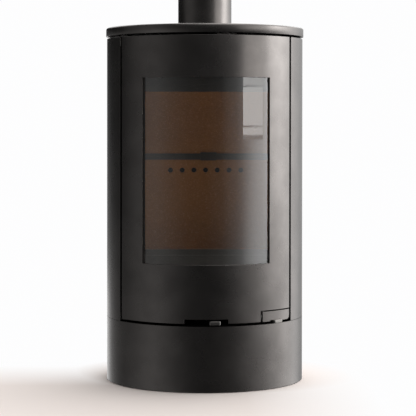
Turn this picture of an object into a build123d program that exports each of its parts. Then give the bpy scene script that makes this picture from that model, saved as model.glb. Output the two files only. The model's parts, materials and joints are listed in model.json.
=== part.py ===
from build123d import *
import os
from math import cos, radians, sin

# A free-standing cylindrical wood burning stove. Millimetres, +Z up, the front faces -Y, origin on the floor
# at the middle of the cylinder. Plan angles are in degrees from straight ahead (-Y), positive towards +X.

# Outer casing
BODY_R = 275.0
SHEET = 3.0
SHELL_R = BODY_R - SHEET
FOOT_R = 262.0
FOOT_TOP = 3.0
FLOOR_PLATE_TOP = 6.0
PLINTH_BOTTOM = 2.0
PLINTH_TOP = 177.4
DECK_BOTTOM = 170.0
DECK_TOP = 174.0
DECK_LIP = (269.0, SHELL_R)
DECK_LIP_TOP = 190.0
SHELL_BOTTOM = 178.0
SHELL_TOP = 954.0
SHELL_EDGE_ANGLE = 58.1
REAR_SEAM_ANGLE = 150.0
SEAM_ANGLE = 0.15
RETURN_R = (246.0, SHELL_R)
TOP_R = 277.5
TOP_BOTTOM = 960.0
TOP_TOP = 984.0
TOP_POCKET_R = 269.0
TOP_POCKET_TOP = 976.0
TOP_HOLE_R = 82.0

# Fire box: side walls that spread a little towards the back, lined with 25 mm board
LINING_FRONT_X = 177.0
LINING_FRONT_Y = -158.0
LINING_BACK_X = 188.0
LINING_BACK_Y = 125.0
LINING = 25.0
PLATE = 4.0
FRAME_FRONT = -165.0
FRAME_BACK = -160.0
FRAME_HALF_WIDTH = 203.0
FRAME_OPENING_X = 176.0
FIRE_OPENING_Z = (375.0, 804.0)
ASH_OPENING_X = 122.0
ASH_OPENING_Z = (222.0, 318.0)
WALL_BACK = 150.0
BASE_Z = (196.0, 200.0)
FLOOR_Z = (326.0, 330.0)
BOX_TOP_Z = (925.0, 929.0)
HEARTH_TOP = 356.0
LINING_TOP = 835.0
RAIL_Z = (612.5, 630.5)
RAIL_WEB_Z = (619.0, 624.0)
RAIL_FRONT = 119.0
RAIL_PAD_X = (-11.5, 37.5)
AIR_HOLE_COUNT = 7
AIR_HOLE_SPACING = 34.1
AIR_HOLE_MIDDLE_X = 5.0
AIR_HOLE_R = 7.2
AIR_HOLE_Z = 582.0
GRATE_HALF = (94.0, 74.0)
ASH_DROP_HALF = (85.0, 65.0)
GRATE_SLOTS = 9

# Flue
PIPE_R = 75.0
PIPE_WALL = 2.0
PIPE_BOTTOM = 940.0
PIPE_TOP = 1200.0
COLLAR_BORE_R = 70.0
COLLAR_SOCKET_R = 75.3
COLLAR_R = 80.0
COLLAR_FLANGE_R = 100.0

# Combustion air: a round inlet in the plinth, a turning valve under the fire box, a duct up the back
INLET_R = 50.3
INLET_WALL = 1.5
INLET_Z = 90.0
INLET_BEND_R = 60.0
HOUSING_R = (66.0, 69.0)
CHANNEL_X = (43.0, 45.0)
CHANNEL_Z = (176.0, 196.0)
CHANNEL_WALL = 2.0
DUCT_X = 118.0
DUCT_BACK = 174.0
DUCT_TOP = 600.0
LEVER_ANGLE = 4.7
LEVER_Z = (184.0, 191.0)
LEVER_HALF_WIDTH = 8.0
LEVER_TIP_R = 258.0
VALVE_DISC_R = 60.0
VALVE_DISC_Z = (191.0, 195.6)
VALVE_WINDOW_R = (22.0, 52.0)
VALVE_WINDOW_HALF = 25.0
PIVOT_R = 6.0
RUNNING = 0.05
TONGUE_TIP_R = 285.0
TONGUE_CORNER_R = 4.0

# Door
DOOR_EDGE_ANGLE = 56.2
DOOR_Z = (184.5, 954.0)
WINDOW_ANGLE = 38.5
WINDOW_Z = (341.0, 841.0)
LEVER_NOTCH_ANGLE = 12.3
LEVER_NOTCH_TOP = 196.2
GLASS_R = (266.0, 270.0)
GLASS_ANGLE = 42.0
GLASS_Z = (333.0, 849.0)
DOOR_FRAME_Y = (-176.0, -173.0)
DOOR_FRAME_HALF_WIDTH = 196.0
DOOR_FRAME_Z = (207.0, 935.0)
DOOR_FRAME_OPENING_X = 178.0
DOOR_FRAME_OPENING_Z = (360.0, 820.0)
WEB_BOTTOMS = (216.0, 329.0, 850.0, 932.0)
CHEEK_X = (182.0, 185.0)
SEAL_OUTER_X = 193.0
SEAL_Z = (208.0, 838.0)
SEAL_WIDTH = 10.0
SEAL_BACK = -165.3

# Door hinge, hidden behind the door's left edge
HINGE_R = 265.5
HINGE_ANGLE = -54.3
HINGE_PIN_R = 4.0
HINGE_PLATE = 8.0
HINGE_BRACKET = 6.0
HINGE_WASHER = 1.7
HINGE_LIFT = 0.3
HINGE_BRACKET_BOTTOMS = (222.0, 900.0)
HINGE_PIN_LENGTH = 24.0
KNUCKLE_R = 9.0
BRACKET_EYE_R = 6.0

# Handle in the door's lower right corner, and the latch that it works
HANDLE_R = 262.0
HANDLE_ANGLE = 34.5
FLAP_ANGLES = (33.7, 56.0)
FLAP_Z = (184.5, 211.5)
FLAP_CORNER_R = 12.0
HANDLE_CUT_ANGLE = 32.3
HANDLE_CUT_TOP = 214.5
HANDLE_PIN_R = 3.0
HUB_R = 8.0
HUB_LOWER_Z = (189.3, 192.0)
HUB_UPPER_Z = (201.0, 212.2)
HOOK_Z = (192.0, 201.0)
HOOK_R = (41.0, 47.0)
HOOK_SPAN = 32.0
KEEPER_OFFSET = 35.0
KEEPER_ANGLE = 204.0
KEEPER_R = 5.0
HANDLE_TONGUE_ANGLE = 43.7
HANDLE_TONGUE_HALF = 16.0
HANDLE_TONGUE_Z = (179.7, 187.7)

SIDES = (-1, 1)


def plan(radius, angle):
    """Point at a radius and plan angle from the stove's axis."""
    return radius * sin(radians(angle)), -radius * cos(radians(angle))


def span_box(x_span, y_span, z_span):
    """Box between a low and a high value on each axis."""
    spans = (x_span, y_span, z_span)
    centre = [(low + high) / 2 for low, high in spans]
    size = [high - low for low, high in spans]
    return Pos(*centre) * Box(*size)


def post(radius, z_span, at=(0, 0)):
    """Upright round post."""
    low, high = z_span
    return Pos(at[0], at[1], (low + high) / 2) * Cylinder(radius, high - low)


def ring(r_inner, r_outer, z_span, at=(0, 0)):
    """Upright round tube."""
    return post(r_outer, z_span, at) - post(r_inner, z_span, at)


def prism(points, z_span):
    """Upright prism over a polygon."""
    low, high = z_span
    face = make_face(Polyline(*points, close=True))
    return Pos(0, 0, low) * extrude(face, amount=high - low, dir=(0, 0, 1))


def sector(radii, angles, z_span):
    """Curved strip between two radii and two plan angles."""
    r_inner, r_outer = radii
    start, end = angles
    middle = (start + end) / 2
    outline = Curve() + [
        ThreePointArc(plan(r_outer, start), plan(r_outer, middle), plan(r_outer, end)),
        Line(plan(r_outer, end), plan(r_inner, end)),
        ThreePointArc(plan(r_inner, end), plan(r_inner, middle), plan(r_inner, start)),
        Line(plan(r_inner, start), plan(r_outer, start)),
    ]
    low, high = z_span
    return Pos(0, 0, low) * extrude(make_face(outline), amount=high - low, dir=(0, 0, 1))


def turned(angle, shape):
    """Turn a shape that points straight ahead to a plan angle."""
    return Rot(0, 0, angle) * shape


def lining_x(y):
    """Half-width between the lining's inner faces at a depth y."""
    spread = (LINING_BACK_X - LINING_FRONT_X) / (LINING_BACK_Y - LINING_FRONT_Y)
    return LINING_FRONT_X + (y - LINING_FRONT_Y) * spread


def wall_slab(side, offsets, y_span, z_span):
    """Slab that follows a side wall, between two offsets outward from the lining's inner face."""
    front, back = y_span
    inner, outer = offsets
    points = [
        (side * (lining_x(front) + inner), front),
        (side * (lining_x(front) + outer), front),
        (side * (lining_x(back) + outer), back),
        (side * (lining_x(back) + inner), back),
    ]
    return prism(points, z_span)


def between_walls(offset, y_span, z_span):
    """Plate that fills the width between the side walls, out to an offset from the lining's inner faces."""
    front, back = y_span
    points = [
        (-lining_x(front) - offset, front),
        (lining_x(front) + offset, front),
        (lining_x(back) + offset, back),
        (-lining_x(back) - offset, back),
    ]
    return prism(points, z_span)


def bored_along_y(radius, y_span, x, z):
    """Round cutter along Y."""
    low, high = y_span
    return Pos(x, (low + high) / 2, z) * Rot(90, 0, 0) * Cylinder(radius, high - low)


def tongue(half_width, r_inner, z_span):
    """Flat finger tongue with rounded corners, pointing straight ahead."""
    bar = span_box((-half_width, half_width), (-TONGUE_TIP_R, -r_inner), z_span)
    bar = fillet(bar.edges().filter_by(Axis.Z).sort_by(Axis.Y)[:2], TONGUE_CORNER_R)
    rims = bar.edges().filter_by(Axis.Z, reverse=True).filter_by(lambda edge: edge.center().Y < -r_inner - 1)
    return fillet(rims, 1.2)


# ---------------------------------------------------------------- casing

def floor_plate():
    return post(FOOT_R, (0, FOOT_TOP)) + post(SHELL_R, (FOOT_TOP, FLOOR_PLATE_TOP))


def plinth_ring():
    inlet_hole = bored_along_y(INLET_R + INLET_WALL, (200, 300), 0, INLET_Z)
    return ring(SHELL_R, BODY_R, (PLINTH_BOTTOM, PLINTH_TOP)) - inlet_hole


def deck_plate():
    lip_angles = (SHELL_EDGE_ANGLE + 1, 359 - SHELL_EDGE_ANGLE)
    lip = sector(DECK_LIP, lip_angles, (DECK_TOP, DECK_LIP_TOP))
    return ring(INLET_R, SHELL_R, (DECK_BOTTOM, DECK_TOP)) + lip


def side_panel(side):
    """Curved side panel with its front edge returned inward."""
    low, high = sorted((side * SHELL_EDGE_ANGLE, side * (REAR_SEAM_ANGLE - SEAM_ANGLE)))
    panel = sector((SHELL_R, BODY_R), (low, high), (SHELL_BOTTOM, SHELL_TOP))
    x_low, x_high = sorted((0, side * SHEET))
    radial = span_box((x_low, x_high), (-RETURN_R[1] - 1, -RETURN_R[0]), (DECK_LIP_TOP + 1, SHELL_TOP))
    return panel + turned(side * SHELL_EDGE_ANGLE, radial)


def rear_panel():
    """Curved back panel with two rows of upright air slots."""
    half = 180 - REAR_SEAM_ANGLE - SEAM_ANGLE
    panel = sector((SHELL_R, BODY_R), (180 - half, 180 + half), (SHELL_BOTTOM, SHELL_TOP))
    for step in range(-6, 7):
        for low in (226.0, 862.0):
            slot = span_box((-3, 3), (-BODY_R - 5, -SHELL_R + 5), (low, low + 42))
            panel -= turned(180 + step * 3.6, slot)
    for screw in rear_panel_screws():
        panel -= screw
    return panel


def rear_panel_screws():
    """Round-headed screws along both edges of the rear panel."""
    heads = []
    for angle in (REAR_SEAM_ANGLE + 2.2, 360 - REAR_SEAM_ANGLE - 2.2):
        for z in (206.0, 566.0, 926.0):
            head = bored_along_y(5, (-BODY_R - 2.2, -BODY_R + 0.1), 0, z)
            shank = bored_along_y(2.5, (-BODY_R, -SHELL_R + 8), 0, z)
            heads.append(turned(angle, head + shank))
    return heads


def shell_brackets():
    """Flat arms that tie the side and rear panels to the top of the fire box."""
    arms = []
    for angle in (75, 115, 155, 205, 245, 285):
        arm = turned(angle, span_box((-15, 15), (-270, -150), (BOX_TOP_Z[1], BOX_TOP_Z[1] + SHEET)))
        arm = arm & post(SHELL_R, (BOX_TOP_Z[1], BOX_TOP_Z[1] + SHEET))
        tab = sector((269, SHELL_R), (angle - 3.2, angle + 3.2), (BOX_TOP_Z[1], SHELL_TOP - 4))
        arms.append(arm + tab)
    return arms


def top_plate():
    """Thick round top with a rounded edge and a hollow underside."""
    disc = post(TOP_R, (TOP_BOTTOM, TOP_TOP))
    disc = fillet(disc.edges().sort_by(Axis.Z)[-1], 5)
    disc = chamfer(disc.edges().sort_by(Axis.Z)[0], 1)
    pocket = ring(TOP_HOLE_R + 8, TOP_POCKET_R, (TOP_BOTTOM - 1, TOP_POCKET_TOP))
    return disc - pocket - post(TOP_HOLE_R, (TOP_BOTTOM - 1, TOP_TOP + 1))


def top_plate_spacers():
    return [post(9, (BOX_TOP_Z[1], TOP_POCKET_TOP), plan(150, angle)) for angle in (45, 135, 225, 315)]


def firebox_legs():
    return [post(12, (DECK_TOP, BASE_Z[0]), (x, y)) for x in (-150, 150) for y in (-120, 115)]


def valve_windows(offset, z_span):
    """Three air windows round the valve's axis."""
    windows = []
    for middle in (60, 180, 300):
        angles = (middle + offset - VALVE_WINDOW_HALF, middle + offset + VALVE_WINDOW_HALF)
        windows.append(sector(VALVE_WINDOW_R, angles, z_span))
    return windows


def firebox_base():
    plate = between_walls(LINING, (FRAME_BACK, WALL_BACK), BASE_Z)
    for window in valve_windows(0, (BASE_Z[0] - 1, BASE_Z[1] + 1)):
        plate -= window
    return plate - post(PIVOT_R, (BASE_Z[0] - 1, BASE_Z[1] + 1))


def firebox_floor():
    x, y = ASH_DROP_HALF
    plate = between_walls(LINING, (FRAME_BACK, WALL_BACK), FLOOR_Z)
    return plate - span_box((-x, x), (-y, y), (FLOOR_Z[0] - 1, FLOOR_Z[1] + 1))


def firebox_side_wall(side):
    return wall_slab(side, (LINING, LINING + PLATE), (FRAME_BACK, WALL_BACK + PLATE), (BASE_Z[0], BOX_TOP_Z[0]))


def air_holes(y_span):
    """Row of round secondary air holes across the back."""
    middle = (AIR_HOLE_COUNT - 1) / 2
    places = [AIR_HOLE_MIDDLE_X + (index - middle) * AIR_HOLE_SPACING for index in range(AIR_HOLE_COUNT)]
    return [bored_along_y(AIR_HOLE_R, y_span, x, AIR_HOLE_Z) for x in places]


def channel_way(y_span):
    """Inside of the flat channel that feeds the rear duct."""
    x = CHANNEL_X[0]
    return span_box((-x, x), y_span, (CHANNEL_Z[0] + CHANNEL_WALL, CHANNEL_Z[1] - CHANNEL_WALL))


def firebox_back_wall():
    wall = between_walls(LINING, (WALL_BACK, WALL_BACK + PLATE), (CHANNEL_Z[0], BOX_TOP_Z[0]))
    for hole in air_holes((WALL_BACK - 1, WALL_BACK + PLATE + 1)):
        wall -= hole
    return wall - channel_way((WALL_BACK - 1, WALL_BACK + PLATE + 1))


def firebox_top():
    plate = between_walls(LINING + PLATE, (FRAME_FRONT, WALL_BACK + PLATE), BOX_TOP_Z)
    return plate - post(COLLAR_BORE_R, (BOX_TOP_Z[0] - 1, BOX_TOP_Z[1] + 1))


def front_frame():
    """Flat plate round the fire opening and the ash pan's opening."""
    cut_y = (FRAME_FRONT - 1, FRAME_BACK + 1)
    plate = span_box((-FRAME_HALF_WIDTH, FRAME_HALF_WIDTH), (FRAME_FRONT, FRAME_BACK), (BASE_Z[0], BOX_TOP_Z[0]))
    plate -= span_box((-FRAME_OPENING_X, FRAME_OPENING_X), cut_y, FIRE_OPENING_Z)
    return plate - span_box((-ASH_OPENING_X, ASH_OPENING_X), cut_y, ASH_OPENING_Z)


def rear_air_duct():
    """Sheet channel up the back of the fire box, open towards its back wall."""
    front = WALL_BACK + PLATE
    outer = span_box((-DUCT_X, DUCT_X), (front, DUCT_BACK), (CHANNEL_Z[0], DUCT_TOP))
    inner_z = (CHANNEL_Z[0] + CHANNEL_WALL, DUCT_TOP - CHANNEL_WALL)
    inner_x = DUCT_X - CHANNEL_WALL
    return outer - span_box((-inner_x, inner_x), (front - 1, DUCT_BACK - CHANNEL_WALL), inner_z)


def air_transfer_channel():
    """Flat tube from the valve housing back to the rear duct."""
    x = CHANNEL_X[1]
    tube = span_box((-x, x), (45, WALL_BACK), CHANNEL_Z) - channel_way((40, WALL_BACK + 1))
    return tube - post(HOUSING_R[1], (CHANNEL_Z[0] - 1, CHANNEL_Z[1] + 1))


def side_lining(side):
    return wall_slab(side, (0, LINING), (FRAME_BACK, WALL_BACK), (FLOOR_Z[1], LINING_TOP))


def back_lining_lower():
    board = between_walls(0, (LINING_BACK_Y, WALL_BACK), (FLOOR_Z[1], RAIL_WEB_Z[0]))
    for hole in air_holes((LINING_BACK_Y - 1, WALL_BACK + 1)):
        board -= hole
    return board


def back_lining_upper():
    return between_walls(0, (LINING_BACK_Y, WALL_BACK), (RAIL_WEB_Z[1], LINING_TOP))


def lining_rail():
    """Steel T-rail that holds the two back linings, with a pad a little right of its middle."""
    web = between_walls(0, (LINING_BACK_Y, WALL_BACK), RAIL_WEB_Z)
    flange = span_box((-186, 186), (RAIL_FRONT, LINING_BACK_Y), RAIL_Z)
    pad = span_box(RAIL_PAD_X, (RAIL_FRONT - 6, RAIL_FRONT), (RAIL_Z[0] - 2, RAIL_Z[1] + 3.5))
    front_corners = pad.edges().filter_by(Axis.Y)
    return web + flange + fillet(front_corners, 4)


def hearth_lining():
    x, y = GRATE_HALF
    board = between_walls(0, (FRAME_BACK, LINING_BACK_Y), (FLOOR_Z[1], HEARTH_TOP))
    return board - span_box((-x - 1, x + 1), (-y - 1, y + 1), (FLOOR_Z[1] - 1, HEARTH_TOP + 1))


def grate():
    """Cast grate with a row of slots."""
    x, y = GRATE_HALF
    plate = span_box((-x, x), (-y, y), (FLOOR_Z[1], HEARTH_TOP - 4))
    pitch = 2 * (x - 12) / GRATE_SLOTS
    for index in range(GRATE_SLOTS):
        middle = -x + 12 + (index + 0.5) * pitch
        plate -= span_box((middle - 4.5, middle + 4.5), (-y + 14, y - 14), (FLOOR_Z[1] - 1, HEARTH_TOP))
    return plate


def baffle_lower():
    return between_walls(LINING - 1, (-95, WALL_BACK), (LINING_TOP, LINING_TOP + LINING))


def baffle_upper():
    return between_walls(LINING - 1, (FRAME_BACK, 85), (890, 894))


def baffle_supports():
    """Angle strips on the side walls that carry the upper baffle."""
    strips = []
    for side in SIDES:
        shelf = wall_slab(side, (10, LINING), (-150, 140), (886, 890))
        leg = wall_slab(side, (LINING - SHEET, LINING), (-150, 140), (862, 886))
        strips.append(shelf + leg)
    return strips


def ash_pan():
    """Folded tray with a finger lip."""
    low = ASH_OPENING_Z[0]
    tray = span_box((-115, 115), (-152, 90), (low, 292)) - span_box((-113.5, 113.5), (-150.5, 88.5), (low + 1.5, 293))
    lip = span_box((-32, 32), (-162, -152), (272, 274)) + span_box((-32, 32), (-162, -160), (262, 274))
    return tray + lip


def ash_pan_runners():
    strips = []
    for side in SIDES:
        outer, web, inner = side * 121, side * 118, side * 98
        shelf = span_box(sorted((inner, outer)), (-158, 100), (ASH_OPENING_Z[0] - SHEET, ASH_OPENING_Z[0]))
        upright = span_box(sorted((web, outer)), (-158, 100), (BASE_Z[1], ASH_OPENING_Z[0] - SHEET))
        strips.append(shelf + upright)
    return strips


def air_valve_housing():
    """Ring under the fire box with a slot for the lever and a mouth for the rear channel."""
    wall = ring(*HOUSING_R, (DECK_TOP, BASE_Z[0]))
    lever_slot = sector((60, 75), (-24, 24), (181, 194))
    return wall - lever_slot - channel_way((40, 80))


def air_inlet_duct():
    """Round duct in through the back of the plinth."""
    outer = bored_along_y(INLET_R + INLET_WALL, (INLET_BEND_R, BODY_R), 0, INLET_Z)
    return outer - bored_along_y(INLET_R, (INLET_BEND_R - 1, BODY_R + 1), 0, INLET_Z)


def air_inlet_elbow():
    """Bend from the inlet duct up to the deck."""
    bend = INLET_BEND_R
    turn = bend * (1 - cos(radians(45)))
    path = Curve() + [
        ThreePointArc((0, bend, INLET_Z), (0, turn, INLET_Z + turn), (0, 0, INLET_Z + bend)),
        Line((0, 0, INLET_Z + bend), (0, 0, DECK_BOTTOM)),
    ]
    section = Plane(origin=(0, bend, INLET_Z), z_dir=(0, -1, 0)) * (Circle(INLET_R + INLET_WALL) - Circle(INLET_R))
    return sweep(section, path=path)


def lever_pivot_pin():
    return post(PIVOT_R, (180, BASE_Z[1])) + post(9, (180, 183.5))


def flue_collar():
    """Cast collar with a socket that the flue pipe stands in."""
    collar = post(COLLAR_FLANGE_R, (BOX_TOP_Z[1], 935)) + post(COLLAR_R, (BOX_TOP_Z[1], 970))
    return collar - post(COLLAR_BORE_R, (BOX_TOP_Z[0], 971)) - post(COLLAR_SOCKET_R, (PIPE_BOTTOM, 971))


def collar_bolts():
    return [post(6, (935, 941), plan(90, angle)) for angle in (0, 90, 180, 270)]


def flue_pipe():
    return ring(PIPE_R - PIPE_WALL, PIPE_R, (PIPE_BOTTOM, PIPE_TOP))


def hinge_brackets():
    """Fixed arms out of the fire box's left wall, one under each door hinge plate."""
    eye = plan(HINGE_R, HINGE_ANGLE)
    arms = []
    for low in HINGE_BRACKET_BOTTOMS:
        z_span = (low, low + HINGE_BRACKET)
        arm = span_box((eye[0], -200), (eye[1] - BRACKET_EYE_R, eye[1] + BRACKET_EYE_R), z_span)
        arm += post(BRACKET_EYE_R, z_span, eye)
        arms.append(arm - firebox_side_wall(-1) - span_box((-205, 0), (-400, 400), z_span) - hinge_pin(low))
    return arms


def hinge_pin(bracket_bottom):
    return post(HINGE_PIN_R, (bracket_bottom, bracket_bottom + HINGE_PIN_LENGTH), plan(HINGE_R, HINGE_ANGLE))


def hinge_pins():
    return [hinge_pin(low) for low in HINGE_BRACKET_BOTTOMS]


def hinge_washers():
    eye = plan(HINGE_R, HINGE_ANGLE)
    lows = [low + HINGE_BRACKET for low in HINGE_BRACKET_BOTTOMS]
    return [ring(HINGE_PIN_R, BRACKET_EYE_R, (low, low + HINGE_WASHER), eye) for low in lows]


def keeper_place():
    """Centre of the keeper pin, seen from the handle's pivot."""
    pivot = plan(HANDLE_R, HANDLE_ANGLE)
    offset = plan(KEEPER_OFFSET, KEEPER_ANGLE)
    return pivot[0] + offset[0], pivot[1] + offset[1]


def keeper_pin():
    return post(KEEPER_R, (186, 205.5), keeper_place())


def keeper_bracket():
    """Two lugs on the front frame that hold the keeper pin."""
    x, y = keeper_place()
    lugs = span_box((x - 12, x + 12), (FRAME_FRONT - SHEET, FRAME_FRONT), (186, 205.5))
    for z_span in ((186, 190), (202.5, 205.5)):
        lug = span_box((x - 7, x + 7), (y, FRAME_FRONT - SHEET), z_span) + post(7, z_span, (x, y))
        lugs += lug
    return lugs - keeper_pin()


# ---------------------------------------------------------------- door

def door_skin():
    """Curved outer skin, with its window, the lever's notch and the handle's corner cut out."""
    cut = (BODY_R - 25, BODY_R + 15)
    skin = sector((SHELL_R, BODY_R), (-DOOR_EDGE_ANGLE, DOOR_EDGE_ANGLE), DOOR_Z)
    skin -= sector(cut, (-WINDOW_ANGLE, WINDOW_ANGLE), WINDOW_Z)
    skin -= sector(cut, (-LEVER_NOTCH_ANGLE, LEVER_NOTCH_ANGLE), (DOOR_Z[0] - 1, LEVER_NOTCH_TOP))
    return skin - sector(cut, (HANDLE_CUT_ANGLE, DOOR_EDGE_ANGLE + 4), (DOOR_Z[0] - 1, HANDLE_CUT_TOP))


def door_inner_frame():
    """Flat frame behind the glass, with webs and cheeks out to the curved skin."""
    x = DOOR_FRAME_HALF_WIDTH
    frame = span_box((-x, x), DOOR_FRAME_Y, DOOR_FRAME_Z)
    x = DOOR_FRAME_OPENING_X
    frame -= span_box((-x, x), (DOOR_FRAME_Y[0] - 1, DOOR_FRAME_Y[1] + 1), DOOR_FRAME_OPENING_Z)
    ahead = (-BODY_R - 10, DOOR_FRAME_Y[0])
    for low in WEB_BOTTOMS:
        z_span = (low, low + SHEET)
        frame += post(SHELL_R, z_span) & span_box((-240, 240), ahead, z_span)
    cheek_z = (WEB_BOTTOMS[1] + SHEET, WEB_BOTTOMS[2])
    for side in SIDES:
        cheek = span_box(sorted((side * CHEEK_X[0], side * CHEEK_X[1])), ahead, cheek_z)
        frame += cheek & post(SHELL_R, cheek_z)
    return frame


def door_glass():
    return sector(GLASS_R, (-GLASS_ANGLE, GLASS_ANGLE), GLASS_Z)


def glass_gasket():
    """Flat gasket between the glass and the skin, all round the window."""
    sheet = sector((GLASS_R[1], SHELL_R), (-GLASS_ANGLE, GLASS_ANGLE), GLASS_Z)
    clear_z = (WINDOW_Z[0] - 1.5, WINDOW_Z[1] + 1.5)
    return sheet - sector((GLASS_R[0], BODY_R), (-WINDOW_ANGLE - 0.7, WINDOW_ANGLE + 0.7), clear_z)


def glass_clip_places():
    return [(side, z) for side in SIDES for z in (400.0, 591.0, 782.0)]


def glass_clips():
    """Bent clips on the cheeks that press the glass forward."""
    clips = []
    for side, z in glass_clip_places():
        z_span = (z - 15, z + 15)
        nose = span_box(sorted((side * 172, side * 182)), (-197.4, -195.4), z_span)
        foot = span_box(sorted((side * 180, side * 182)), (-195.4, -179), z_span)
        clips.append(nose + foot)
    return clips


def glass_clip_screws():
    screws = []
    for side, z in glass_clip_places():
        screws.append(Pos(side * 178.5, -187, z) * Rot(0, 90, 0) * Cylinder(3.5, 3))
    return screws


def door_seal():
    """Rope seal round the back of the door frame."""
    x = SEAL_OUTER_X
    y_span = (DOOR_FRAME_Y[1], SEAL_BACK)
    low, high = SEAL_Z
    loop = span_box((-x, x), y_span, SEAL_Z)
    inner = x - SEAL_WIDTH
    hole = span_box((-inner, inner), (y_span[0] - 1, y_span[1] + 1), (low + SEAL_WIDTH, high - SEAL_WIDTH))
    loop = fillet(loop.edges().filter_by(Axis.Y), 16) - fillet(hole.edges().filter_by(Axis.Y), 6)
    back_rims = loop.faces().sort_by(Axis.Y)[-1].edges()
    return fillet(back_rims, 2.5)


def door_hinge_plates():
    """Eyes that sit on the hinge pins, each with an arm welded to the skin and the inner frame."""
    eye = plan(HINGE_R, HINGE_ANGLE)
    plates = []
    for bracket_bottom in HINGE_BRACKET_BOTTOMS:
        low = bracket_bottom + HINGE_BRACKET + HINGE_WASHER + HINGE_LIFT
        z_span = (low, low + HINGE_PLATE)
        arm = sector((263, SHELL_R), (HINGE_ANGLE, -44), z_span)
        arm -= span_box((-DOOR_FRAME_HALF_WIDTH, 0), (-300, 0), z_span)
        knuckle = post(KNUCKLE_R, z_span, eye) & post(SHELL_R, z_span)
        plates.append(arm + knuckle - post(HINGE_PIN_R + RUNNING, z_span, eye))
    return plates


def handle_pivot_pin():
    return post(HANDLE_PIN_R, (186, WEB_BOTTOMS[0]), plan(HANDLE_R, HANDLE_ANGLE))


def handle_bracket():
    """Fork under the door's lowest web that holds the handle's pivot pin."""
    x, y = plan(HANDLE_R, HANDLE_ANGLE)
    fork = span_box((x - 20, x - 15.5), (y - KNUCKLE_R, y + KNUCKLE_R), (186, WEB_BOTTOMS[0]))
    for z_span in ((186, 189), (212.5, WEB_BOTTOMS[0])):
        fork += span_box((x - 20, x), (y - KNUCKLE_R, y + KNUCKLE_R), z_span) + post(KNUCKLE_R, z_span, (x, y))
    return fork - handle_pivot_pin()


# ---------------------------------------------------------------- handle

def handle_flap():
    """Curved flap flush with the skin, with a rounded free corner and a split hub on its pivot."""
    flap = sector((SHELL_R, BODY_R), FLAP_ANGLES, FLAP_Z)
    corner = flap.edges().filter_by(Axis.Z, reverse=True).filter_by(GeomType.LINE).sort_by(Axis.Z)[:2]
    flap = fillet(corner.sort_by(Axis.X)[-1], FLAP_CORNER_R)
    half = HANDLE_TONGUE_HALF + 0.3
    slot = span_box((-half, half), (-BODY_R - 5, -SHELL_R + 5), (FLAP_Z[0] - 1, HANDLE_TONGUE_Z[1] + 0.3))
    flap -= turned(HANDLE_TONGUE_ANGLE, slot)
    pivot = plan(HANDLE_R, HANDLE_ANGLE)
    for z_span in (HUB_LOWER_Z, (HUB_UPPER_Z[0], FLAP_Z[1])):
        rib = turned(HANDLE_ANGLE, span_box((-5, 5), (-BODY_R, -HANDLE_R), z_span))
        flap += rib & post(SHELL_R + 0.5, z_span)
    for z_span in (HUB_LOWER_Z, HUB_UPPER_Z):
        flap += post(HUB_R, z_span, pivot)
    return flap - post(HANDLE_PIN_R + RUNNING, (180, 220), pivot)


def handle_tongue():
    """Steel finger tongue with an upstand welded behind the flap."""
    upstand = span_box((-12, 12), (-BODY_R, -267), (HANDLE_TONGUE_Z[1] - 2, 201)) & post(SHELL_R, (180, 201))
    return turned(HANDLE_TONGUE_ANGLE, tongue(HANDLE_TONGUE_HALF, 256, HANDLE_TONGUE_Z) + upstand)


def latch_hook():
    """Claw that turns in behind the keeper pin."""
    pivot = plan(HANDLE_R, HANDLE_ANGLE)
    arm = span_box((-4, 4), (0, HOOK_R[1] - 1), HOOK_Z)
    claw = sector(HOOK_R, (176, 180 + HOOK_SPAN), HOOK_Z)
    hook = arm + claw + post(HUB_R, HOOK_Z) - post(HANDLE_PIN_R + RUNNING, HOOK_Z)
    return Pos(pivot[0], pivot[1], 0) * hook


# ---------------------------------------------------------------- air control

def lever_bar():
    x = LEVER_HALF_WIDTH
    return turned(LEVER_ANGLE, span_box((-x, x), (-LEVER_TIP_R, 0), LEVER_Z))


def air_lever():
    return lever_bar() + post(16, LEVER_Z) - post(PIVOT_R + RUNNING, LEVER_Z)


def air_lever_tongue():
    return turned(LEVER_ANGLE, tongue(15, 240, (182.3, 192.3))) - lever_bar()


def air_valve_disc():
    disc = post(VALVE_DISC_R, VALVE_DISC_Z) - post(PIVOT_R + RUNNING, VALVE_DISC_Z)
    for window in valve_windows(-14, (VALVE_DISC_Z[0] - 1, VALVE_DISC_Z[1] + 1)):
        disc -= window
    return disc


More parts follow.
